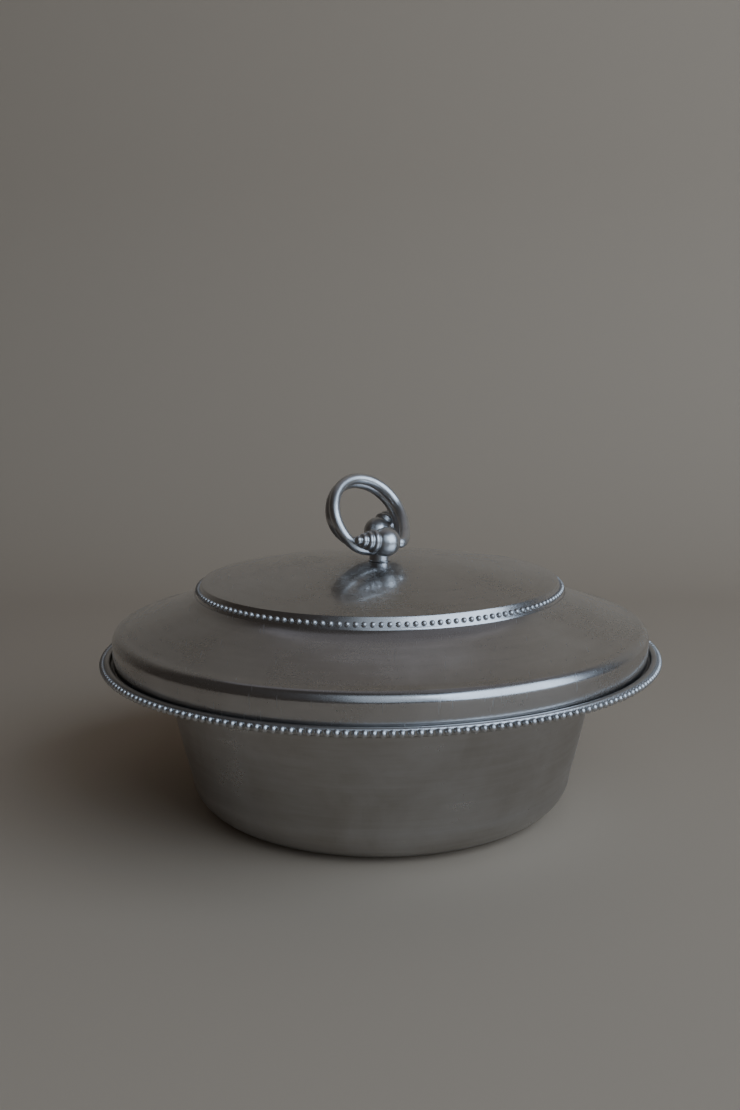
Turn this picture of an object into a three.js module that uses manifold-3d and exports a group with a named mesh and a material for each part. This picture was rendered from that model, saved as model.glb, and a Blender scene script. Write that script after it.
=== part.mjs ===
// Round covered serving dish in spun aluminium: a deep dish with a wide flange, and a domed lid
// whose finial is one rod wound into two turns, with a ball and a stepped tip on each end.
// Millimetres, +Z up, origin at the centre of the base where it stands on the table.
import * as THREE from 'three';
import { mergeVertices } from 'three/addons/utils/BufferGeometryUtils.js';
import Module from 'manifold-3d';

// Driving dimensions
const wall = 1.2;                // sheet thickness of the dish and the lid
const gap = 0.3;                 // clearance left between pieces that touch
const lathe = 48;                // facets around the dish and the lid
const turned = 16;               // facets around small turned pieces

const baseRadius = 63;           // flat part of the dish's base
const cornerWidth = 19;          // half axes of the elliptical corner above the base
const cornerHeight = 15.7;
const wallTopRadius = 91.2;      // outside of the wall, below the flange
const wallTopHeight = 58;
const wallBow = 0.5;             // how far the wall swells out between corner and flange
const rimHeight = 66.3;          // middle of the beaded edge
const flangeUnderside = 62.1;    // where the flange leaves the wall; it rises a little towards the lip
const lipUnderside = 64;
const lipInner = 114.6;          // upturned edge of the flange
const lipOuter = 119.2;          // over the beads
const lipTop = 1.7;              // above rimHeight

const skirtRadius = 113.5;       // outside of the lid's skirt
const shoulderHeight = 8.8;      // all lid heights are above rimHeight
const shoulderRadius = 4.8;
const bandRadius = 78.4;         // foot of the slanted band that carries the upper beads
const bandHeight = 27.1;
const slopeSag = 0.5;            // hollow of the lid's slope between shoulder and band
const crownRadius = 75.7;        // edge of the crown, where the band starts
const crownTop = 39;
const crownRise = 7.4;           // how much the crown rises from its edge to its centre

const studRadius = 1.9;          // threaded end of the finial post
const holeRadius = studRadius + gap;
const postRadius = 4.3;
const postFoot = 4.7;
const postHeight = 2.6;
const washerRadius = 6;
const washerThickness = 1;
const nutAcrossFlats = 7;
const nutHeight = 3;

const rodRadius = 2.35;          // the finial's rod
const turnRadius = 17.5;         // centre line of one turn
const turnAzimuth = -48;         // degrees: where the axis of the turns points
const turnElevation = 30.2;
const turnRoll = -2.6;
const turnStep = new THREE.Vector3(4.95, -0.3, -1.65);  // from turn to turn: along axis, up, sideways
const turnBottom = new THREE.Vector3(0.2, -0.3, 41.4);  // lowest point of the round turns
const seatWidth = 0.52;          // radians of the turn that are flattened onto the post

const ballRadius = 6.15;
const ends = {
  front: {
    side: -1,                    // which way round the turn this half of the rod goes
    lastAngle: 248,              // degrees of round turn before the rod curls in to the ball
    bend: [0.36, 0.16],          // how far each handle of that curl reaches, as a share of its length
    ball: new THREE.Vector3(2.75, -8.1, 48.4),
    way: new THREE.Vector3(-0.85, -0.5, 0.14),
  },
  back: {
    side: 1,
    lastAngle: 255,
    bend: [0.45, 0.25],
    ball: new THREE.Vector3(-0.5, 19.4, 48.6),
    way: new THREE.Vector3(0.53, 0.68, 0.52),
  },
};
const boreStep = 1;              // the rod stops this far past the ball's centre
const spigotRadius = 1.5;
const ringRadii = [5, 4.1, 3];
const ringWidth = 2.45;
const ringStart = 5.3;           // along the end's axis, from the ball's centre
const grooveDepth = 0.25;        // below the next ring
const nubRadius = 1.9;

const sheet = { color: 0xa8a9ab, roughness: 0.38, metalness: 1 };
const polished = { color: 0xb9bbbe, roughness: 0.22, metalness: 1 };

const wasm = await Module();
wasm.setup();

const servingDish = new THREE.Group();

// Adds a named piece; at lifts it from the base, and way turns its own +Z to point along a direction.
function addPiece(name, geometry, look, at = new THREE.Vector3(), way = new THREE.Vector3(0, 0, 1)) {
  const mesh = new THREE.Mesh(geometry, new THREE.MeshStandardMaterial(look));
  mesh.name = name;
  mesh.position.copy(at);
  mesh.quaternion.setFromUnitVectors(new THREE.Vector3(0, 0, 1), way.clone().normalize());
  servingDish.add(mesh);
}

// Spins an outline of [radius, height] points about +Z.
function spin(outline, facets) {
  const points = outline.map(([radius, height]) => new THREE.Vector2(radius, height));
  return new THREE.LatheGeometry(points, facets).rotateX(Math.PI / 2);
}

// The same path moved sideways by the sheet thickness; side is +1 to the left of its direction.
function offset(path, side) {
  return path.map((point, i) => {
    const before = path[Math.max(i - 1, 0)];
    const after = path[Math.min(i + 1, path.length - 1)];
    const run = new THREE.Vector2(after[0] - before[0], after[1] - before[1]).normalize();
    return [Math.max(point[0] - side * wall * run.y, 0), point[1] + side * wall * run.x];
  });
}

// Points on an ellipse quarter or arc, angles in degrees.
function arc(centre, radii, from, to, steps) {
  return Array.from({ length: steps + 1 }, (_, i) => {
    const angle = THREE.MathUtils.degToRad(from + (to - from) * i / steps);
    return [centre[0] + radii[0] * Math.cos(angle), centre[1] + radii[1] * Math.sin(angle)];
  });
}

function toSolid(geometry) {
  const bare = geometry.clone();
  bare.deleteAttribute('normal');
  bare.deleteAttribute('uv');
  const merged = mergeVertices(bare, 1e-4);
  return new wasm.Manifold(new wasm.Mesh({
    numProp: 3,
    vertProperties: merged.attributes.position.array,
    triVerts: new Uint32Array(merged.index.array),
  }));
}

function toGeometry(solid) {
  const mesh = solid.getMesh();
  const geometry = new THREE.BufferGeometry();
  geometry.setAttribute('position', new THREE.BufferAttribute(new Float32Array(mesh.vertProperties), 3));
  geometry.setIndex(new THREE.BufferAttribute(new Uint32Array(mesh.triVerts), 1));
  geometry.computeVertexNormals();
  return geometry;
}

// Dish: base, corner, bowed wall, flare and flange in one sheet, ending in a rolled, beaded lip.
const flare = flangeUnderside - wallTopHeight;
const flangeStart = wallTopRadius + flare;
const flangeRise = (lipUnderside - flangeUnderside) / (lipInner - flangeStart);

function dishOutline() {
  const cornerOuter = baseRadius + cornerWidth;
  const outside = [
    [0, 0],
    ...arc([baseRadius, cornerHeight], [cornerWidth, cornerHeight], -90, 0, 6),
  ];
  const wallSteps = 3;
  for (let i = 1; i <= wallSteps; i += 1) {
    const t = i / wallSteps;
    const bow = wallBow * 4 * t * (1 - t);
    outside.push([
      cornerOuter + (wallTopRadius - cornerOuter) * t + bow,
      cornerHeight + (wallTopHeight - cornerHeight) * t,
    ]);
  }
  outside.push(...arc([flangeStart, wallTopHeight], [flare, flare], 165, 95, 3));
  outside.push([lipInner, lipUnderside]);
  const lip = [
    [lipOuter - 1.4, rimHeight - 1.6],
    [lipOuter, rimHeight - 0.8],
    [lipOuter, rimHeight + 0.8],
    [lipOuter - 1.4, rimHeight + lipTop - 0.2],
    [lipInner + 1.2, rimHeight + lipTop],
    [lipInner + 0.3, rimHeight + lipTop - 0.4],
    [lipInner, rimHeight + 0.3],
  ];
  return [...outside, ...lip, ...offset(outside, 1).reverse()];
}

// Lid: crown, beaded band, slope, shoulder and skirt in one sheet, with a hole for the stud.
function lidOutline() {
  const outside = [[holeRadius, crownTop]];
  const crownSteps = 4;
  for (let i = 1; i <= crownSteps; i += 1) {
    const radius = crownRadius * i / crownSteps;
    outside.push([radius, crownTop - crownRise * (i / crownSteps) ** 2]);
  }
  const shoulderCentre = skirtRadius - shoulderRadius;
  const shoulderTop = [shoulderCentre - 0.8, shoulderHeight + shoulderRadius];
  const slopeTop = [bandRadius + 0.9, bandHeight - 0.9];
  outside.push([bandRadius, bandHeight], slopeTop);
  const slopeSteps = 3;
  for (let i = 1; i <= slopeSteps; i += 1) {
    const t = i / slopeSteps;
    outside.push([
      slopeTop[0] + (shoulderTop[0] - slopeTop[0]) * t,
      slopeTop[1] + (shoulderTop[1] - slopeTop[1]) * t - slopeSag * 4 * t * (1 - t),
    ]);
  }
  outside.push(...arc([shoulderCentre, shoulderHeight], [shoulderRadius, shoulderRadius], 68, 0, 3));
  const flangeTop = flangeUnderside + wall + flangeRise * (skirtRadius - flangeStart);
  outside.push([skirtRadius, flangeTop + gap - rimHeight]);
  const inside = offset(outside, -1).reverse();
  inside[inside.length - 1][0] = holeRadius;
  return [...outside, ...inside, outside[0]].map(([radius, height]) => [radius, height + rimHeight]);
}

addPiece('dish_body', spin(dishOutline(), lathe), sheet);
addPiece('lid_shell', spin(lidOutline().reverse(), lathe), sheet);

// Finial rod: its middle is flattened onto the post and its two halves each make a turn.
const seatPoint = new THREE.Vector3(0, 0, crownTop + postHeight + rodRadius);

function turnFrame() {
  const azimuth = THREE.MathUtils.degToRad(turnAzimuth);
  const elevation = THREE.MathUtils.degToRad(turnElevation);
  const roll = THREE.MathUtils.degToRad(turnRoll);
  const axis = new THREE.Vector3(
    Math.cos(elevation) * Math.cos(azimuth),
    Math.cos(elevation) * Math.sin(azimuth),
    Math.sin(elevation),
  );
  const steepest = new THREE.Vector3(0, 0, 1).addScaledVector(axis, -axis.z).normalize();
  const up = steepest.clone().applyAxisAngle(axis, roll);
  return { axis, up, right: up.clone().cross(axis) };
}

function rodPoints() {
  const { axis, up, right } = turnFrame();
  const step = new THREE.Vector3()
    .addScaledVector(axis, turnStep.x).addScaledVector(up, turnStep.y).addScaledVector(right, turnStep.z);
  const onTurn = (angle) => turnBottom.clone()
    .addScaledVector(up, turnRadius * (1 - Math.cos(angle)))
    .addScaledVector(right, turnRadius * Math.sin(angle))
    .addScaledVector(step, -angle / (2 * Math.PI));
  const toSeat = seatPoint.clone().sub(turnBottom);
  const seated = (angle) => onTurn(angle).addScaledVector(toSeat, Math.exp(-((angle / seatWidth) ** 2)));
  const endPoints = ({ side, lastAngle, bend, ball, way }) => {
    const last = side * THREE.MathUtils.degToRad(lastAngle);
    const into = way.clone().normalize();
    const start = seated(last);
    const beforeStart = seated(last - side * 0.01);
    const heading = start.clone().sub(beforeStart).normalize();
    const mouth = ball.clone().addScaledVector(into, -ballRadius - 0.5);
    const reach = start.distanceTo(mouth);
    const curl = new THREE.CubicBezierCurve3(
      start,
      start.clone().addScaledVector(heading, reach * bend[0]),
      mouth.clone().addScaledVector(into, -reach * bend[1]),
      mouth,
    );
    const straight = [0.15, 0.4, 0.7, 1].map((t) => mouth.clone()
      .lerp(ball.clone().addScaledVector(into, boreStep - gap), t));
    return [...curl.getPoints(12).slice(1), ...straight];
  };

  const turns = [];
  const turnSteps = 48;
  for (let i = 0; i <= turnSteps; i += 1) {
    const degrees = THREE.MathUtils.lerp(-ends.front.lastAngle, ends.back.lastAngle, i / turnSteps);
    turns.push(seated(THREE.MathUtils.degToRad(degrees)));
  }
  return [...endPoints(ends.front).reverse(), ...turns, ...endPoints(ends.back)];
}

const rodPath = new THREE.CatmullRomCurve3(rodPoints(), false, 'centripetal');
const rodSection = new THREE.Shape().absarc(0, 0, rodRadius, 0, 2 * Math.PI, false);
const rodGeometry = new THREE.ExtrudeGeometry(rodSection, {
  steps: 84,
  curveSegments: 8,
  extrudePath: rodPath,
});
const rimCentre = new THREE.Vector3(0, 0, rimHeight);
addPiece('finial_loop', rodGeometry, polished, rimCentre);

// Post under the rod, with a shallow saddle for it and a threaded stud through the lid.
const nutBottom = crownTop - wall - gap - washerThickness - gap - nutHeight;
const postBottom = crownTop + gap;
const postTop = crownTop + postHeight;
const postOutline = [
  [0, nutBottom - 1],
  [studRadius, nutBottom - 1],
  [studRadius, postBottom],
  [postFoot, postBottom],
  [postFoot, postBottom + 0.4],
  [postRadius, postBottom + 0.7],
  [postRadius, postTop - 0.4],
  [postRadius - 0.4, postTop],
  [0, postTop],
];
const rodAcross = new THREE.CylinderGeometry(rodRadius + gap, rodRadius + gap, 4 * postRadius, turned);
const seatWay = rodPath.getTangentAt(0.5);
rodAcross.applyQuaternion(new THREE.Quaternion().setFromUnitVectors(new THREE.Vector3(0, 1, 0), seatWay));
rodAcross.translate(seatPoint.x, seatPoint.y, seatPoint.z);
const saddled = toSolid(spin(postOutline, turned)).subtract(toSolid(rodAcross));
addPiece('finial_post', toGeometry(saddled), polished, rimCentre);

// Washer and nut inside the lid.
const washerTop = crownTop - wall - gap;
const washerOutline = [
  [holeRadius, washerTop - washerThickness],
  [washerRadius, washerTop - washerThickness],
  [washerRadius, washerTop],
  [holeRadius, washerTop],
  [holeRadius, washerTop - washerThickness],
];
addPiece('lid_washer', spin(washerOutline, turned), polished, rimCentre);

const nutCorner = nutAcrossFlats / Math.sqrt(3);
const hexagon = arc([0, 0], [nutCorner, nutCorner], 0, 300, 5);
const nutShape = new THREE.Shape(hexagon.map(([x, y]) => new THREE.Vector2(x, y)));
nutShape.holes.push(new THREE.Path().absarc(0, 0, holeRadius, 0, 2 * Math.PI, true));
const nutGeometry = new THREE.ExtrudeGeometry(nutShape, {
  depth: nutHeight,
  bevelEnabled: false,
  curveSegments: 12,
});
addPiece('lid_nut', nutGeometry, polished, new THREE.Vector3(0, 0, rimHeight + nutBottom));

// Balls are bored for the rod from behind and for the tip's spigot from the front.
const rodBore = rodRadius + gap;
const spigotBore = spigotRadius + gap;
const angleOf = (radius) => THREE.MathUtils.radToDeg(Math.asin(radius / ballRadius));
const ballOutline = [
  [rodBore, boreStep],
  ...arc([0, 0], [ballRadius, ballRadius], -90 + angleOf(rodBore), 90 - angleOf(spigotBore), 9),
  [spigotBore, boreStep],
  [rodBore, boreStep],
];

// Tips are a stack of rings that get smaller towards a nub; the first ring is cupped to fit the ball.
function tipOutline() {
  const cup = ballRadius + gap;
  const outline = [[0, boreStep + gap], [spigotRadius, boreStep + gap]];
  for (const radius of [spigotRadius, 2 * spigotRadius, ringRadii[0] - 0.5]) {
    outline.push([radius, Math.sqrt(cup ** 2 - radius ** 2)]);
  }
  ringRadii.forEach((radius, i) => {
    const start = ringStart + i * ringWidth;
    const next = ringRadii[i + 1] ?? nubRadius;
    outline.push([radius, start + 0.3 * ringWidth], [radius, start + 0.6 * ringWidth]);
    outline.push([next - grooveDepth, start + ringWidth]);
  });
  const nubStart = ringStart + ringRadii.length * ringWidth;
  outline.push([nubRadius, nubStart + 0.6], [nubRadius, nubStart + 1]);
  outline.push(...arc([0, nubStart + 1], [nubRadius, 1.5], 30, 90, 3).slice(0, 3), [0, nubStart + 2.5]);
  return outline;
}

for (const [name, { ball, way }] of Object.entries(ends)) {
  const centre = ball.clone().add(rimCentre);
  addPiece(`ball_${name}`, spin(ballOutline, turned), polished, centre, way);
  addPiece(`tip_${name}`, spin(tipOutline(), turned), polished, centre, way);
}

export default servingDish;
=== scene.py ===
import math
import bmesh
import bpy
from mathutils import Matrix, Vector


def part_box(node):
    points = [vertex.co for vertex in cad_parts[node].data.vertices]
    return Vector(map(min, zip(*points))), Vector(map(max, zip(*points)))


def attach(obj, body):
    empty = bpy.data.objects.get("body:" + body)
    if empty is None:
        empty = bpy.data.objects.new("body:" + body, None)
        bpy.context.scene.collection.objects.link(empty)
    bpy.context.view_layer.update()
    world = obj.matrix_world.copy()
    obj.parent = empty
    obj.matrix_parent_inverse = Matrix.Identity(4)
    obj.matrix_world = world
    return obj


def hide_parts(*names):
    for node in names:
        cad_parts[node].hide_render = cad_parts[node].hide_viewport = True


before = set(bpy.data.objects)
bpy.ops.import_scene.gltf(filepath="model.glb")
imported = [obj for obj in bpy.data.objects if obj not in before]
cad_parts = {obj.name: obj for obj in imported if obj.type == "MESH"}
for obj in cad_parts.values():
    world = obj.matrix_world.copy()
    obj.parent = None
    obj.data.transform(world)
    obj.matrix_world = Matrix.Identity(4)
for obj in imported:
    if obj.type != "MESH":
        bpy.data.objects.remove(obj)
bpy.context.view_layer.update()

mm = 0.001
lipTop = 1.7  # above the middle of the beaded edge
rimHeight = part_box("dish_body")[1][2] - lipTop * mm
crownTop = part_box("lid_shell")[1][2]


# outlines are lists of (radius, height)

def arcPoints(centre, radii, fromAngle, toAngle, steps):
    points = []
    for i in range(steps + 1):
        angle = math.radians(fromAngle + (toAngle - fromAngle) * i / steps)
        points.append((centre[0] + radii[0] * math.cos(angle), centre[1] + radii[1] * math.sin(angle)))
    return points


def sheetOffset(path, thickness, side):  # side +1 is to the left of the path's direction
    moved = []
    for i, (radius, height) in enumerate(path):
        before, after = path[max(i - 1, 0)], path[min(i + 1, len(path) - 1)]
        run = Vector((after[0] - before[0], after[1] - before[1])).normalized()
        moved.append((max(radius - side * thickness * run.y, 0), height + side * thickness * run.x))
    return moved


def placed(outline, height):
    return [(radius * mm, z * mm + height) for radius, z in outline]


def finishMesh(name, mesh, material, sharpAngle=35):
    work = bmesh.new()
    work.from_mesh(mesh)
    bmesh.ops.remove_doubles(work, verts=work.verts, dist=1e-7)
    bmesh.ops.recalc_face_normals(work, faces=work.faces)
    work.to_mesh(mesh)
    work.free()
    mesh.shade_smooth()
    mesh.set_sharp_from_angle(angle=math.radians(sharpAngle))
    mesh.materials.clear()
    mesh.materials.append(material)
    piece = bpy.data.objects.new(name, mesh)
    bpy.context.collection.objects.link(piece)
    return piece


def revolve(name, outline, segments, material, looped=False, place=None, sharpAngle=35):
    vertices, faces = [], []
    rows = len(outline)
    for i in range(segments):
        turn = 2 * math.pi * i / segments
        vertices += [(r * math.cos(turn), r * math.sin(turn), z) for r, z in outline]
    for i in range(segments):
        here, there = i * rows, (i + 1) % segments * rows
        for j in range(rows if looped else rows - 1):
            k = (j + 1) % rows
            corners = [here + j, there + j, there + k, here + k]
            if outline[j][0] == 0:
                corners.pop(1)
            elif outline[k][0] == 0:
                corners.pop(2)
            faces.append(corners)
    mesh = bpy.data.meshes.new(name)
    mesh.from_pydata(vertices, [], faces)
    if place:
        mesh.transform(place)
    return finishMesh(name, mesh, material, sharpAngle)


def alongWay(centre, way):  # puts +Z of a turned piece along the way it points
    turn = Vector((0, 0, 1)).rotation_difference(Vector(way))
    return Matrix.Translation(centre) @ turn.to_matrix().to_4x4()


# Geometry Nodes

def newTree(name, inputs):
    tree = bpy.data.node_groups.new(name, "GeometryNodeTree")
    tree.interface.new_socket("Geometry", in_out="INPUT", socket_type="NodeSocketGeometry")
    for label, kind in inputs:
        tree.interface.new_socket(label, in_out="INPUT", socket_type=kind)
    tree.interface.new_socket("Geometry", in_out="OUTPUT", socket_type="NodeSocketGeometry")
    return tree, tree.nodes.new("NodeGroupInput"), tree.nodes.new("NodeGroupOutput")


def addNode(tree, kind, settings=None, **sockets):
    node = tree.nodes.new(kind)
    for key, value in (settings or {}).items():
        setattr(node, key, value)
    for key, value in sockets.items():
        socket = node.inputs[key.replace("_", " ")]
        if isinstance(value, bpy.types.NodeSocket):
            tree.links.new(value, socket)
        else:
            socket.default_value = value
    return node


def runTree(name, base, tree, values):
    source = bpy.data.objects.new(name + "Source", base)
    bpy.context.collection.objects.link(source)
    modifier = source.modifiers.new("build", "NODES")
    modifier.node_group = tree
    for item in tree.interface.items_tree:
        if item.in_out == "INPUT" and item.name in values:
            modifier[item.identifier] = values[item.name]
    depsgraph = bpy.context.evaluated_depsgraph_get()
    mesh = bpy.data.meshes.new_from_object(source.evaluated_get(depsgraph), depsgraph=depsgraph)
    source.modifiers.remove(modifier)
    bpy.data.objects.remove(source)
    mesh.name = name
    return mesh


def endTree(tree, geometry, material, output):
    smooth = addNode(tree, "GeometryNodeSetShadeSmooth", Geometry=geometry)
    real = addNode(tree, "GeometryNodeRealizeInstances", Geometry=smooth.outputs[0])
    coated = addNode(tree, "GeometryNodeSetMaterial", Geometry=real.outputs[0], Material=material)
    tree.links.new(coated.outputs[0], output.inputs[0])


def beadTree(segments, rings):
    tree, given, output = newTree("beadRow", [
        ("Count", "NodeSocketInt"), ("Row radius", "NodeSocketFloat"), ("Height", "NodeSocketFloat"),
        ("Bead size", "NodeSocketVector"), ("Variation", "NodeSocketFloat"), ("Seed", "NodeSocketInt"),
        ("Material", "NodeSocketMaterial"),
    ])
    row = addNode(tree, "GeometryNodeMeshCircle", Vertices=given.outputs["Count"],
                  Radius=given.outputs["Row radius"])
    lift = addNode(tree, "ShaderNodeCombineXYZ", Z=given.outputs["Height"])
    raised = addNode(tree, "GeometryNodeSetPosition", Geometry=row.outputs[0], Offset=lift.outputs[0])
    bead = addNode(tree, "GeometryNodeMeshUVSphere", Segments=segments, Rings=rings, Radius=0.5)
    spot = addNode(tree, "GeometryNodeInputPosition")
    outward = addNode(tree, "ShaderNodeVectorMath", {"operation": "MULTIPLY"})
    tree.links.new(spot.outputs[0], outward.inputs[0])
    outward.inputs[1].default_value = (1, 1, 0)
    facing = addNode(tree, "FunctionNodeAlignRotationToVector", {"axis": "X"}, Vector=outward.outputs[0])
    least = addNode(tree, "ShaderNodeMath", {"operation": "SUBTRACT"})
    least.inputs[0].default_value = 1
    tree.links.new(given.outputs["Variation"], least.inputs[1])
    chance = addNode(tree, "FunctionNodeRandomValue", {"data_type": "FLOAT"}, Seed=given.outputs["Seed"])
    tree.links.new(least.outputs[0], chance.inputs[2])
    chance.inputs[3].default_value = 1
    size = addNode(tree, "ShaderNodeVectorMath", {"operation": "SCALE"})
    tree.links.new(given.outputs["Bead size"], size.inputs[0])
    tree.links.new(chance.outputs[1], size.inputs["Scale"])
    beads = addNode(tree, "GeometryNodeInstanceOnPoints", Points=raised.outputs[0],
                    Instance=bead.outputs[0], Rotation=facing.outputs[0], Scale=size.outputs[0])
    endTree(tree, beads.outputs[0], given.outputs["Material"], output)
    return tree


def rodTree():
    tree, given, output = newTree("bentRod", [
        ("Rod radius", "NodeSocketFloat"), ("Sides", "NodeSocketInt"), ("Material", "NodeSocketMaterial"),
    ])
    line = addNode(tree, "GeometryNodeMeshToCurve", Mesh=given.outputs["Geometry"])
    section = addNode(tree, "GeometryNodeCurvePrimitiveCircle", Resolution=given.outputs["Sides"],
                      Radius=given.outputs["Rod radius"])
    swept = addNode(tree, "GeometryNodeCurveToMesh", Curve=line.outputs[0],
                    Profile_Curve=section.outputs[0], Fill_Caps=True)
    endTree(tree, swept.outputs[0], given.outputs["Material"], output)
    return tree


# materials, all in object coordinates

def mathNode(tree, operation, first, second=None):
    node = tree.nodes.new("ShaderNodeMath")
    node.operation = operation
    for socket, value in zip(node.inputs, (first, second)):
        if isinstance(value, bpy.types.NodeSocket):
            tree.links.new(value, socket)
        elif value is not None:
            socket.default_value = value
    return node.outputs[0]


def mapped(tree, value, fromLow, fromHigh, toLow, toHigh):
    node = addNode(tree, "ShaderNodeMapRange", Value=value)
    node.inputs["From Min"].default_value = fromLow
    node.inputs["From Max"].default_value = fromHigh
    node.inputs["To Min"].default_value = toLow
    node.inputs["To Max"].default_value = toHigh
    return node.outputs[0]


def mixColour(tree, amount, first, second):
    node = tree.nodes.new("ShaderNodeMix")
    node.data_type = "RGBA"
    for socket, value in zip((node.inputs[0], node.inputs[6], node.inputs[7]), (amount, first, second)):
        if isinstance(value, bpy.types.NodeSocket):
            tree.links.new(value, socket)
        else:
            socket.default_value = value
    return node.outputs[2]


def scratchPattern(tree, where, look):  # thin straight marks in a few directions
    scratches = None
    for turn, stretch in look["scratchDirections"]:
        turned = addNode(tree, "ShaderNodeMapping", Vector=where, Rotation=turn, Scale=stretch)
        streaks = addNode(tree, "ShaderNodeTexNoise", Vector=turned.outputs[0], Scale=1, Detail=1)
        least = look["scratchThreshold"]
        mask = mapped(tree, streaks.outputs[0], least, least + 0.03, 0, 1)
        scratches = mask if scratches is None else mathNode(tree, "MAXIMUM", scratches, mask)
    return scratches


def spinningLines(tree, where, look):  # fast across the sheet, slow round it
    parts = addNode(tree, "ShaderNodeSeparateXYZ", Vector=where)
    flat = addNode(tree, "ShaderNodeCombineXYZ", X=parts.outputs[0], Y=parts.outputs[1])
    radius = addNode(tree, "ShaderNodeVectorMath", {"operation": "LENGTH"})
    tree.links.new(flat.outputs[0], radius.inputs[0])
    heading = addNode(tree, "ShaderNodeVectorMath", {"operation": "NORMALIZE"})
    tree.links.new(flat.outputs[0], heading.inputs[0])
    headingParts = addNode(tree, "ShaderNodeSeparateXYZ", Vector=heading.outputs[0])
    density = look["lineDensity"]
    lineSpot = addNode(
        tree, "ShaderNodeCombineXYZ",
        X=mathNode(tree, "MULTIPLY", headingParts.outputs[0], look["lineBreaks"]),
        Y=mathNode(tree, "MULTIPLY", headingParts.outputs[1], look["lineBreaks"]),
        Z=mathNode(tree, "MULTIPLY", radius.outputs["Value"], density),
    )
    return addNode(
        tree, "ShaderNodeTexNoise", {"noise_dimensions": "4D"}, Vector=lineSpot.outputs[0],
        W=mathNode(tree, "MULTIPLY", parts.outputs[2], density), Scale=1, Detail=4, Roughness=0.72,
    ).outputs[0]


def pitPattern(tree, where, smudges, look):  # small pits, only where the smudges are strong
    cells = addNode(tree, "ShaderNodeTexVoronoi", Vector=where, Scale=look["pitScale"])
    pits = mapped(tree, cells.outputs["Distance"], look["pitSize"], look["pitSize"] * 1.6, 1, 0)
    return mathNode(tree, "MULTIPLY", pits, mapped(tree, smudges, *look["pitPatches"], 0, 1))


def addShares(tree, total, shares):  # adds each pattern times its share
    for pattern, share in shares:
        part = mathNode(tree, "MULTIPLY", pattern, share)
        total = part if total is None else mathNode(tree, "ADD", total, part)
    return total


def metalFinish(name, look):
    material = bpy.data.materials.new(name)
    material.use_nodes = True
    tree = material.node_tree
    shader = tree.nodes["Principled BSDF"]
    where = tree.nodes.new("ShaderNodeTexCoord").outputs["Object"]
    lines = spinningLines(tree, where, look)
    smudges = addNode(tree, "ShaderNodeTexNoise", Vector=where, Scale=look["smudgeScale"], Detail=4,
                      Roughness=0.6, Distortion=0.4).outputs[0]
    grain = addNode(tree, "ShaderNodeTexNoise", Vector=where, Scale=look["grainScale"], Detail=2).outputs[0]
    waves = addNode(tree, "ShaderNodeTexNoise", Vector=where, Scale=look["waveScale"], Detail=1).outputs[0]
    pits = pitPattern(tree, where, smudges, look)
    scratches = scratchPattern(tree, where, look)

    tone = addShares(tree, None, [(smudges, look["smudgeShare"]), (lines, 1 - look["smudgeShare"])])
    brightness = mapped(tree, tone, *look["toneRange"], 0, 1)
    colour = mixColour(tree, brightness, look["darkTone"], look["lightTone"])
    colour = mixColour(tree, mathNode(tree, "MULTIPLY", pits, look["pitDarkness"]), colour, look["pitTone"])
    tree.links.new(colour, shader.inputs["Base Color"])

    rough = mapped(tree, tone, *look["toneRange"], look["roughHigh"], look["roughLow"])
    grainMiddle = mathNode(tree, "SUBTRACT", grain, 0.5)
    rough = addShares(tree, rough, [(grainMiddle, look["grainRough"]), (scratches, look["scratchRough"])])
    tree.links.new(rough, shader.inputs["Roughness"])

    relief = addShares(tree, None, [
        (lines, look["lineRelief"]), (grain, look["grainRelief"]), (scratches, -look["scratchRelief"]),
        (pits, -look["pitRelief"]), (waves, look["waveRelief"]),
    ])
    bump = addNode(tree, "ShaderNodeBump", Height=relief)
    bump.inputs["Strength"].default_value = 1
    bump.inputs["Distance"].default_value = mm
    tree.links.new(bump.outputs[0], shader.inputs["Normal"])

    shader.inputs["Metallic"].default_value = 1
    shader.inputs["Anisotropic"].default_value = look["anisotropy"]
    if look["coat"]:  # a clear, smoother skin that gives soft mirror images at a low angle
        shader.inputs["Coat Weight"].default_value = look["coat"]
        shader.inputs["Coat Roughness"].default_value = look["coatRough"]
        tree.links.new(bump.outputs[0], shader.inputs["Coat Normal"])
    if look["anisotropy"]:
        around = addNode(tree, "ShaderNodeTangent", {"direction_type": "RADIAL", "axis": "Z"})
        tree.links.new(around.outputs[0], shader.inputs["Tangent"])
    return material


sheetLook = {
    "darkTone": (0.41, 0.39, 0.365, 1),
    "lightTone": (0.54, 0.54, 0.545, 1),
    "toneRange": (0.35, 0.65), "smudgeShare": 0.7,
    "roughLow": 0.27, "roughHigh": 0.40, "grainRough": 0.08, "scratchRough": 0.12,
    "anisotropy": 0.45, "coat": 0.0, "coatRough": 0.1,
    "lineDensity": 420.0, "lineBreaks": 2.2, "lineRelief": 0.010,  # per metre, round the turn, in mm
    "smudgeScale": 26.0, "grainScale": 900.0, "grainRelief": 0.003,
    "pitTone": (0.07, 0.065, 0.06, 1), "pitDarkness": 0.7, "pitPatches": (0.5, 0.56),
    "pitScale": 95.0, "pitSize": 0.014, "pitRelief": 0.04,
    "scratchDirections": [((0.4, 0.9, 0.5), (1100, 90, 90)), ((0.9, 0.5, 1.9), (1000, 110, 110))],
    "scratchThreshold": 0.735, "scratchRelief": 0.004,
    "waveScale": 22.0, "waveRelief": 0.16,
}
lidLook = dict(
    sheetLook, darkTone=(0.43, 0.41, 0.39, 1), lightTone=(0.56, 0.56, 0.565, 1),
    roughLow=0.20, roughHigh=0.30, coat=0.8, coatRough=0.08, waveScale=45.0, waveRelief=0.06,
)
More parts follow.
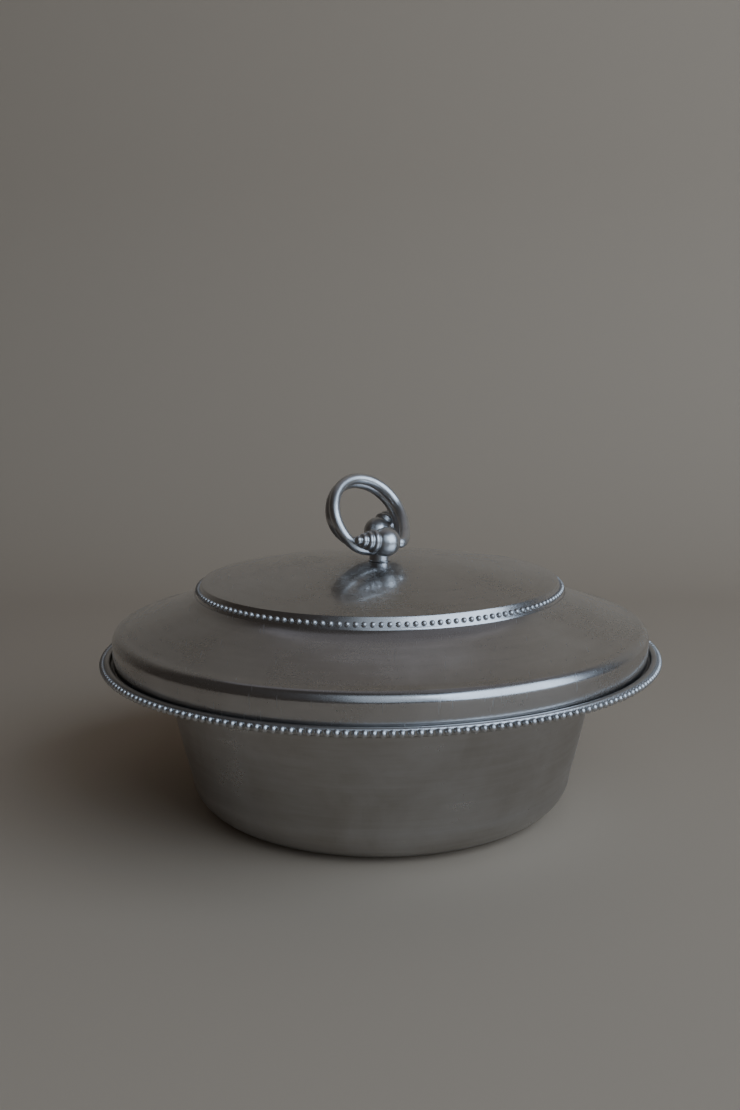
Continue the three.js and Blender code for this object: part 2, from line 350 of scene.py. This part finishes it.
brightLook = dict(
    sheetLook, darkTone=(0.52, 0.515, 0.51, 1), lightTone=(0.66, 0.66, 0.665, 1),
    roughLow=0.29, roughHigh=0.37, anisotropy=0.0, lineDensity=900.0, lineRelief=0.003,
    smudgeScale=120.0, waveScale=90.0, waveRelief=0.02, pitScale=160.0,
)
# the beads get a lighter tone than the dish and lid sheet they are rolled from: a painted highlight standing
# in for the light the beads catch; their rougher finish is real
beadPaintedHighlightLook = dict(brightLook, darkTone=(0.50, 0.50, 0.50, 1), lightTone=(0.64, 0.645, 0.65, 1),
                roughLow=0.34, roughHigh=0.44)

dishMetal = metalFinish("spunDishAluminium", sheetLook)
lidMetal = metalFinish("spunLidAluminium", lidLook)
brightMetal = metalFinish("brightTurnedAluminium", brightLook)
beadPaintedHighlightMetal = metalFinish("beadedEdgeAluminiumPaintedLighter", beadPaintedHighlightLook)
print("materials made")


# dish: base, corner, bowed wall, flare, flange and rolled lip in one sheet
dishValues = {
    "wall": 1.2, "segments": 288, "wallSteps": 16,
    "baseRadius": 63.0, "cornerWidth": 19.0, "cornerHeight": 15.7,
    "basePushUp": 0.5, "pushUpStep": 5.0,  # how far the base is pushed up, and where its edge begins
    "wallTopRadius": 91.2, "wallTopHeight": 58.0, "wallBow": 0.5,
    "flangeUnderside": 62.1, "lipUnderside": 64.0, "flareEnd": 95.3,
    "flangeFirst": 1.2, "flangeSpacing": 2.9, "flangeRings": 7,
    "lipInner": 114.6, "lipWall": 117.1, "lipTop": lipTop, "lipRound": 1.2, "lipBottom": -1.1, "lipFoot": 0.7,
}


def dishOutline(v):
    pushUp = v["basePushUp"]
    outside = [(0, pushUp), (v["baseRadius"] * 0.8, pushUp)]
    stepStart = v["baseRadius"] - v["pushUpStep"]
    outside += [(stepStart + 0.5 * i, pushUp * (1 - i / 4) ** 2) for i in range(5)]
    cornerCentre, cornerAxes = (v["baseRadius"], v["cornerHeight"]), (v["cornerWidth"], v["cornerHeight"])
    outside += arcPoints(cornerCentre, cornerAxes, -90, 0, 28)
    cornerOuter = v["baseRadius"] + v["cornerWidth"]
    for i in range(1, v["wallSteps"] + 1):
        t = i / v["wallSteps"]
        outside.append((
            cornerOuter + (v["wallTopRadius"] - cornerOuter) * t + v["wallBow"] * 4 * t * (1 - t),
            v["cornerHeight"] + (v["wallTopHeight"] - v["cornerHeight"]) * t,
        ))
    flare = v["flangeUnderside"] - v["wallTopHeight"]
    outside += arcPoints((v["flareEnd"], v["wallTopHeight"]), (flare, flare), 165, 96, 10)
    rise = (v["lipUnderside"] - v["flangeUnderside"]) / (v["lipInner"] - v["flareEnd"])
    flangeStart = v["flareEnd"] + v["flangeFirst"]
    flangeRadii = [flangeStart + i * v["flangeSpacing"] for i in range(v["flangeRings"])]
    outside += [(radius, v["flangeUnderside"] + rise * (radius - v["flareEnd"])) for radius in flangeRadii]
    inside = sheetOffset(outside, v["wall"], 1)
    inside = [(r, z) for r, z in inside if r > 0]
    rim = rimHeight / mm
    roll, innerRoll, foot = v["lipRound"], v["lipRound"] * 0.8, v["lipFoot"]
    inner, outer = v["lipInner"], v["lipWall"]
    lowest, highest = rim + v["lipBottom"], rim + v["lipTop"]
    lip = [(inner + 0.8, v["lipUnderside"] + 0.05), (outer - 1.0, lowest - 0.55)]
    lip += arcPoints((outer - foot, lowest + 0.2), (foot, foot), -75, 0, 6)
    lip += arcPoints((outer - roll, highest - roll), (roll, roll), 0, 80, 8)
    lip += arcPoints((inner + innerRoll, highest - innerRoll), (innerRoll, innerRoll), 100, 180, 8)
    lip += arcPoints((inner - foot, inside[-1][1] + 0.85), (foot, foot), 0, -75, 5)
    return outside + lip + inside[::-1] + [(0, pushUp + v["wall"])]


dishBody = revolve("dishShell", placed(dishOutline(dishValues), 0), dishValues["segments"], dishMetal)
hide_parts("dish_body")
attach(dishBody, "dish")
print("dish spun", len(dishBody.data.polygons))


# lid: crown, slanted band for the beads, slope, shoulder and skirt in one sheet
lidValues = {
    "wall": 1.2, "segments": 288, "hole": 2.05,
    "crownRise": 7.4, "crownEdge": 75.7, "edgeRound": 0.5,  # heights are below the crown's top
    "bandRadius": 78.4, "bandHeight": -11.9, "bandHollow": 0.1, "grooveWidth": 0.35, "grooveDepth": 0.3,
    "filletWidth": 7.0, "filletDepth": 1.0,
    "slopeSag": 0.5, "shoulderHeight": -30.2, "shoulderRound": 4.8,
    "skirtRadius": 113.5, "skirtMiddle": -35.0, "skirtBottom": -39.9, "hemRound": 0.35,
    "crownSteps": 26, "bandSteps": 8, "slopeSteps": 30, "slopeCrowding": 1.4,
}


def lidOutline(v):
    outside = []
    crownReach = v["crownEdge"] - v["edgeRound"] - v["hole"]
    for i in range(v["crownSteps"] + 1):
        radius = v["hole"] + crownReach * i / v["crownSteps"]
        outside.append((radius, -v["crownRise"] * (radius / v["crownEdge"]) ** 2))
    bandWay = Vector((v["bandRadius"] - v["crownEdge"], v["bandHeight"] + v["crownRise"])).normalized()
    bandStart = Vector((v["crownEdge"], -v["crownRise"]))
    bandEnd = Vector((v["bandRadius"], v["bandHeight"]))
    outside.append((v["crownEdge"] - 0.1, -v["crownRise"] + 0.02))
    outside.append(tuple(bandStart + bandWay * v["edgeRound"] * 0.6))
    inward = Vector((bandWay.y, -bandWay.x))
    for i in range(1, v["bandSteps"]):
        t = i / v["bandSteps"]
        outside.append(tuple(bandStart.lerp(bandEnd, t) + inward * v["bandHollow"] * 4 * t * (1 - t)))
    outside.append(tuple(bandEnd - bandWay * v["grooveWidth"]))
    outside.append((v["bandRadius"] - 0.05, v["bandHeight"] - v["grooveDepth"]))
    shoulderCentre = v["skirtRadius"] - v["shoulderRound"]
    slopeTop = (v["bandRadius"] + v["grooveWidth"], v["bandHeight"] - 0.05)
    slopeEnd = (shoulderCentre - 0.8, v["shoulderHeight"] + v["shoulderRound"])
    slopeStart = slopeTop[1] - v["filletDepth"]  # the fillet makes up the rest
    for i in range(v["slopeSteps"] + 1):
        t = (i / v["slopeSteps"]) ** v["slopeCrowding"]
        radius = slopeTop[0] + (slopeEnd[0] - slopeTop[0]) * t
        fillet = v["filletDepth"] * max(0, 1 - (radius - slopeTop[0]) / v["filletWidth"]) ** 3
        straight = slopeStart + (slopeEnd[1] - slopeStart) * t
        outside.append((radius, straight - v["slopeSag"] * 4 * t * (1 - t) + fillet))
    roundAxes = (v["shoulderRound"], v["shoulderRound"])
    outside += arcPoints((shoulderCentre, v["shoulderHeight"]), roundAxes, 68, 0, 14)
    outside += [(v["skirtRadius"], v["skirtMiddle"]), (v["skirtRadius"], v["skirtBottom"] + v["hemRound"])]
    inside = sheetOffset(outside, v["wall"], -1)
    hem = [
        (v["skirtRadius"] - v["hemRound"], v["skirtBottom"]),
        (v["skirtRadius"] - v["wall"] + v["hemRound"], v["skirtBottom"]),
    ]
    return outside + hem + inside[::-1]


lidLine = placed(lidOutline(lidValues), crownTop)
lidShell = revolve("lidShell", lidLine, lidValues["segments"], lidMetal, looped=True)
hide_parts("lid_shell")
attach(lidShell, "lid")
print("lid spun", len(lidShell.data.polygons))


# rows of beads rolled into the rim and the band round the crown
rimBeads = {
    "Count": 228, "Row radius": 117.75 * mm, "Height": rimHeight - 0.1 * mm,
    "Bead size": (2.8 * mm, 2.65 * mm, 3.1 * mm), "Variation": 0.06, "Seed": 4,
}
crownBeads = {
    "Count": 152, "Row radius": 77.2 * mm, "Height": crownTop - 10.1 * mm,
    "Bead size": (2.4 * mm, 2.35 * mm, 2.4 * mm), "Variation": 0.06, "Seed": 9,
}
beadRow = beadTree(segments=10, rings=7)


def rollBeads(name, values, material, body):
    mesh = runTree(name, bpy.data.meshes.new(name), beadRow, dict(values, Material=material))
    row = finishMesh(name, mesh, material, 80)
    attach(row, body)


rollBeads("rimBeads", rimBeads, beadPaintedHighlightMetal, "dish")
rollBeads("crownBeads", crownBeads, beadPaintedHighlightMetal, "lid")
print("beads rolled")


# finial: one rod in two turns on a post, a ball and a stepped tip on each end; heights are above the rim
finialValues = {
    "rodRadius": 2.33, "turnRadius": 17.5, "azimuth": -48.0, "elevation": 30.2, "roll": -2.6,
    "turnStep": (4.95, -0.3, -1.65),  # along the turns' axis, up, sideways
    "turnBottom": (0.2, -0.3, 41.4), "seat": (0, 0, 43.95), "seatWidth": 0.52,
    "ballRadius": 6.15, "rodEnd": 0.7, "sides": 28, "turnSteps": 200, "curlSteps": 40, "boreSteps": 6,
}
rodEnds = {
    "front": {
        "side": -1, "lastAngle": 248, "bend": (0.36, 0.16),
        "ball": (2.75, -8.1, 48.4), "way": (-0.85, -0.5, 0.14),
    },
    "back": {
        "side": 1, "lastAngle": 255, "bend": (0.45, 0.25),
        "ball": (-0.5, 19.4, 48.6), "way": (0.53, 0.68, 0.52),
    },
}


def rodLine(v, ends):
    azimuth, elevation = math.radians(v["azimuth"]), math.radians(v["elevation"])
    level = math.cos(elevation)
    axis = Vector((level * math.cos(azimuth), level * math.sin(azimuth), math.sin(elevation)))
    steepest = (Vector((0, 0, 1)) - axis * axis.z).normalized()
    up = Matrix.Rotation(math.radians(v["roll"]), 3, axis) @ steepest
    right = up.cross(axis)
    step = axis * v["turnStep"][0] + up * v["turnStep"][1] + right * v["turnStep"][2]
    bottom, seat = Vector(v["turnBottom"]), Vector(v["seat"])

    def seated(angle):
        rise, swing = v["turnRadius"] * (1 - math.cos(angle)), v["turnRadius"] * math.sin(angle)
        onTurn = bottom + up * rise + right * swing
        pull = math.exp(-((angle / v["seatWidth"]) ** 2))
        return onTurn - step * (angle / (2 * math.pi)) + (seat - bottom) * pull

    def endPoints(end):
        last = end["side"] * math.radians(end["lastAngle"])
        into = Vector(end["way"]).normalized()
        ball = Vector(end["ball"])
        start = seated(last)
        leaving = (start - seated(last - end["side"] * 0.01)).normalized()
        mouth = ball - into * (v["ballRadius"] + 0.5)
        reach = (start - mouth).length
        firstHandle = start + leaving * reach * end["bend"][0]
        controls = (start, firstHandle, mouth - into * reach * end["bend"][1], mouth)
        points = []
        for i in range(1, v["curlSteps"] + 1):
            t = i / v["curlSteps"]
            weights = ((1 - t) ** 3, 3 * t * (1 - t) ** 2, 3 * t * t * (1 - t), t ** 3)
            points.append(sum((c * w for c, w in zip(controls, weights)), Vector()))
        inner = ball + into * v["rodEnd"]
        return points + [mouth.lerp(inner, i / v["boreSteps"]) for i in range(1, v["boreSteps"] + 1)]

    first, last = -math.radians(ends["front"]["lastAngle"]), math.radians(ends["back"]["lastAngle"])
    turns = [seated(first + (last - first) * i / v["turnSteps"]) for i in range(v["turnSteps"] + 1)]
    points = endPoints(ends["front"])[::-1] + turns + endPoints(ends["back"])
    lift = Vector((0, 0, rimHeight))
    return [point * mm + lift for point in points]


rodPath = rodLine(finialValues, rodEnds)
pathMesh = bpy.data.meshes.new("rodPath")
pathMesh.from_pydata(rodPath, [(i, i + 1) for i in range(len(rodPath) - 1)], [])
rodMesh = runTree("finialRod", pathMesh, rodTree(), {
    "Rod radius": finialValues["rodRadius"] * mm, "Sides": finialValues["sides"], "Material": brightMetal,
})
finialRod = finishMesh("finialRod", rodMesh, brightMetal)
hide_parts("finial_loop")
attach(finialRod, "lid")
print("rod bent", len(rodPath), "points")


ballValues = {"radius": 6.15, "rodBore": 2.42, "spigotBore": 1.6, "boreStep": 1.0, "segments": 64}


def ballOutline(v):
    start = -90 + math.degrees(math.asin(v["rodBore"] / v["radius"]))
    end = 90 - math.degrees(math.asin(v["spigotBore"] / v["radius"]))
    outline = [(v["rodBore"], v["boreStep"])]
    outline += arcPoints((0, 0), (v["radius"], v["radius"]), start, end, 36)
    return outline + [(v["spigotBore"], v["boreStep"])]


tipValues = {
    "spigot": 1.55, "spigotEnd": 1.3, "cup": 6.25, "ringRadii": (5.0, 4.1, 3.0), "ringStart": 5.3,
    "ringWidth": 2.45, "groove": 0.25, "nub": 1.9, "nubLength": 1.5, "nubGap": 0.9, "segments": 48,
    "cupRadii": (2.4, 3.2), "cupInset": 0.75, "ringMiddle": 0.45,
}


def tipOutline(v):
    outline = [(0, v["spigotEnd"]), (v["spigot"], v["spigotEnd"])]
    for radius in (v["spigot"], *v["cupRadii"], v["ringRadii"][0] - v["cupInset"]):
        outline.append((radius, math.sqrt(v["cup"] ** 2 - radius ** 2)))
    halfWidth = v["ringWidth"] * 0.5
    followers = v["ringRadii"][1:] + (v["nub"],)
    for i, (radius, follower) in enumerate(zip(v["ringRadii"], followers)):
        middle = v["ringStart"] + (i + v["ringMiddle"]) * v["ringWidth"]
        floorRadius = follower - v["groove"]  # the groove after this ring
        start = -math.degrees(math.acos((radius - v["groove"] - floorRadius) / (radius - floorRadius)))
        outline += arcPoints((floorRadius, middle), (radius - floorRadius, halfWidth), start, 88, 10)
    nubMiddle = v["ringStart"] + len(v["ringRadii"]) * v["ringWidth"] + v["nubGap"]
    outline += arcPoints((0, nubMiddle), (v["nub"], v["nubLength"]), -29, 90, 12)[:-1]
    return outline + [(0, nubMiddle + v["nubLength"])]


for end, values in rodEnds.items():
    place = alongWay(Vector(values["ball"]) * mm + Vector((0, 0, rimHeight)), values["way"])
    ballLine, tipLine = placed(ballOutline(ballValues), 0), placed(tipOutline(tipValues), 0)
    ball = revolve(end + "Ball", ballLine, ballValues["segments"], brightMetal, True, place)
    tip = revolve(end + "Tip", tipLine, tipValues["segments"], brightMetal, False, place)
    for piece, node in ((ball, "ball_" + end), (tip, "tip_" + end)):
        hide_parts(node)
        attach(piece, "lid")
print("balls and tips turned")


# post with its threaded stud, washer and nut; heights are above or below the crown's top
postValues = {
    "radius": 4.3, "foot": 4.7, "footHeight": 0.55, "height": 3.3, "edge": 0.4, "stud": 1.9,
    "studEnd": -6.8, "threadPitch": 0.7, "threadDepth": 0.25, "threadStart": 0.3, "segments": 64,
    "footRound": 0.2, "footMiddle": 0.24, "footFillet": (0.25, 0.3),
}


def postOutline(v):
    outline = [(0, v["studEnd"]), (v["stud"] - 0.5, v["studEnd"])]
    turns = int(-v["studEnd"] / v["threadPitch"]) - 1
    for i in range(turns):
        base = v["studEnd"] + v["threadStart"] + i * v["threadPitch"]
        outline += [(v["stud"] - v["threadDepth"], base), (v["stud"], base + v["threadPitch"] / 2)]
    outline += [(v["stud"] - v["threadDepth"], -0.2), (v["stud"], 0.02)]
    footRound, fillet, edge = v["footRound"], v["footFillet"], v["edge"]
    outline += arcPoints((v["foot"] - footRound, v["footMiddle"]), (footRound, footRound), -90, 60, 5)
    outline += arcPoints((v["radius"] + fillet[0], v["footHeight"] + fillet[1]), fillet, 250, 180, 4)
    outline += arcPoints((v["radius"] - edge, v["height"] - edge), (edge, edge), 0, 90, 6)
    return outline + [(1.5, v["height"]), (0, v["height"])]


washerValues = {"inner": 2.1, "outer": 6.0, "top": -1.25, "thickness": 1.0, "edge": 0.2, "segments": 64}


def washerOutline(v):
    bottom = v["top"] - v["thickness"]
    edge = v["edge"]
    outline = [(v["inner"], bottom), (v["outer"] - edge, bottom)]
    outline += arcPoints((v["outer"] - edge, bottom + edge), (edge, edge), -90, 0, 3)
    outline += arcPoints((v["outer"] - edge, v["top"] - edge), (edge, edge), 0, 90, 3)
    return outline + [(v["inner"], v["top"])]


nutValues = {
    "inner": 2.0, "acrossFlats": 7.0, "height": 3.0, "top": -2.3, "chamfer": 0.5, "trim": 0.1, "sides": 48,
}


def hexNut(name, v, material):
    low, high = (v["top"] - v["height"]) * mm + crownTop, v["top"] * mm + crownTop
    around = v["sides"]
    flatRadius = v["acrossFlats"] / 2

    def outerRadius(turn):  # distance to the hexagon's side in that direction
        return flatRadius / math.cos((turn + math.pi / 6) % (math.pi / 3) - math.pi / 6)

    vertices, faces = [], []
    chamfer = v["chamfer"] * mm
    levels = [(low, True), (low + chamfer, False), (high - chamfer, False), (high, True)]
    for i in range(around):
        turn = 2 * math.pi * i / around
        ray = (math.cos(turn), math.sin(turn))
        for z, trimmed in levels:
            radius = min(outerRadius(turn), flatRadius - v["trim"]) if trimmed else outerRadius(turn)
            vertices.append((ray[0] * radius * mm, ray[1] * radius * mm, z))
        vertices += [(ray[0] * v["inner"] * mm, ray[1] * v["inner"] * mm, z) for z in (high, low)]
    rows = 6
    for i in range(around):
        here, there = i * rows, (i + 1) % around * rows
        for j in range(rows):
            k = (j + 1) % rows
            faces.append((here + j, there + j, there + k, here + k))
    mesh = bpy.data.meshes.new(name)
    mesh.from_pydata(vertices, [], faces)
    return finishMesh(name, mesh, material, 25)


postLine = placed(postOutline(postValues), crownTop)
washerLine = placed(washerOutline(washerValues), crownTop)
fixings = {
    "finial_post": revolve("finialPost", postLine, postValues["segments"], brightMetal),
    "lid_washer": revolve("crownWasher", washerLine, washerValues["segments"], brightMetal, looped=True),
    "lid_nut": hexNut("crownNut", nutValues, brightMetal),
}
for node, piece in fixings.items():
    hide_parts(node)
    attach(piece, "lid")
print("post, washer and nut made")


# floor, light and camera
stageValues = {
    "width": 7.0, "front": -2.6, "back": 0.75, "sweep": 0.35, "top": 2.2,
    "tone": (0.45, 0.36, 0.27, 1), "rough": 0.8, "specular": 0.2,
}


def layFloor(v):  # a paper floor that sweeps up into a backdrop
    line = [(v["front"], 0), (v["back"] - v["sweep"], 0)]
    line += arcPoints((v["back"] - v["sweep"], v["sweep"]), (v["sweep"], v["sweep"]), -90, 0, 24)[1:]
    line.append((v["back"], v["top"]))
    half = v["width"] / 2
    vertices = [(side * half, y, z) for y, z in line for side in (-1, 1)]
    faces = [(2 * i, 2 * i + 1, 2 * i + 3, 2 * i + 2) for i in range(len(line) - 1)]
    mesh = bpy.data.meshes.new("floor")
    mesh.from_pydata(vertices, [], faces)
    mesh.shade_smooth()
    floor = bpy.data.objects.new("floor", mesh)
    bpy.context.collection.objects.link(floor)
    material = bpy.data.materials.new("paleFloor")
    material.use_nodes = True
    shader = material.node_tree.nodes["Principled BSDF"]
    shader.inputs["Base Color"].default_value = v["tone"]
    shader.inputs["Roughness"].default_value = v["rough"]
    shader.inputs["Specular IOR Level"].default_value = v["specular"]
    mesh.materials.append(material)


lamps = {
    "window": {"from": (1.12, -0.82, 0.82), "size": (1.7, 1.5), "power": 26.5, "tone": (0.62, 0.78, 1.0)},
    "front": {"from": (0.08, -1.3, 1.0), "size": (0.8, 1.6), "power": 3.2, "tone": (0.66, 0.81, 1.0)},
    "ceiling": {"from": (0.2, 0.4, 1.5), "size": (2.2, 1.2), "power": 1.4, "tone": (0.86, 0.88, 1.0)},
}
lampAim = Vector((0, 0, 0.06))
roomTone = {"colour": (1.0, 0.86, 0.76, 1), "strength": 0.045}


def hangLamp(name, v):
    data = bpy.data.lights.new(name, "AREA")
    data.shape = "RECTANGLE"
    data.size, data.size_y = v["size"]
    data.energy = v["power"]
    data.color = v["tone"]
    lamp = bpy.data.objects.new(name, data)
    lamp.location = v["from"]
    lamp.rotation_euler = (lampAim - lamp.location).to_track_quat("-Z", "Y").to_euler()
    bpy.context.collection.objects.link(lamp)


layFloor(stageValues)
for lampName, lampValues in lamps.items():
    hangLamp(lampName, lampValues)
world = bpy.data.worlds.new("room")
world.use_nodes = True
world.node_tree.nodes["Background"].inputs["Color"].default_value = roomTone["colour"]
world.node_tree.nodes["Background"].inputs["Strength"].default_value = roomTone["strength"]
bpy.context.scene.world = world

cameraValues = {
    "side": -4.0 * mm, "back": -546.2 * mm, "aboveRim": 138.9 * mm,
    "tilt": 10.12, "roll": -0.47, "lens": 42.16, "sensor": 36,
}
cameraData = bpy.data.cameras.new("camera")
cameraData.lens = cameraValues["lens"]
cameraData.sensor_width = cameraValues["sensor"]
camera = bpy.data.objects.new("camera", cameraData)
bpy.context.collection.objects.link(camera)
spot = Vector((cameraValues["side"], cameraValues["back"], rimHeight + cameraValues["aboveRim"]))
camera.matrix_world = (
    Matrix.Translation(spot)
    @ Matrix.Rotation(math.radians(90 - cameraValues["tilt"]), 4, "X")
    @ Matrix.Rotation(math.radians(cameraValues["roll"]), 4, "Z")
)
bpy.context.scene.camera = camera
print("stage set")
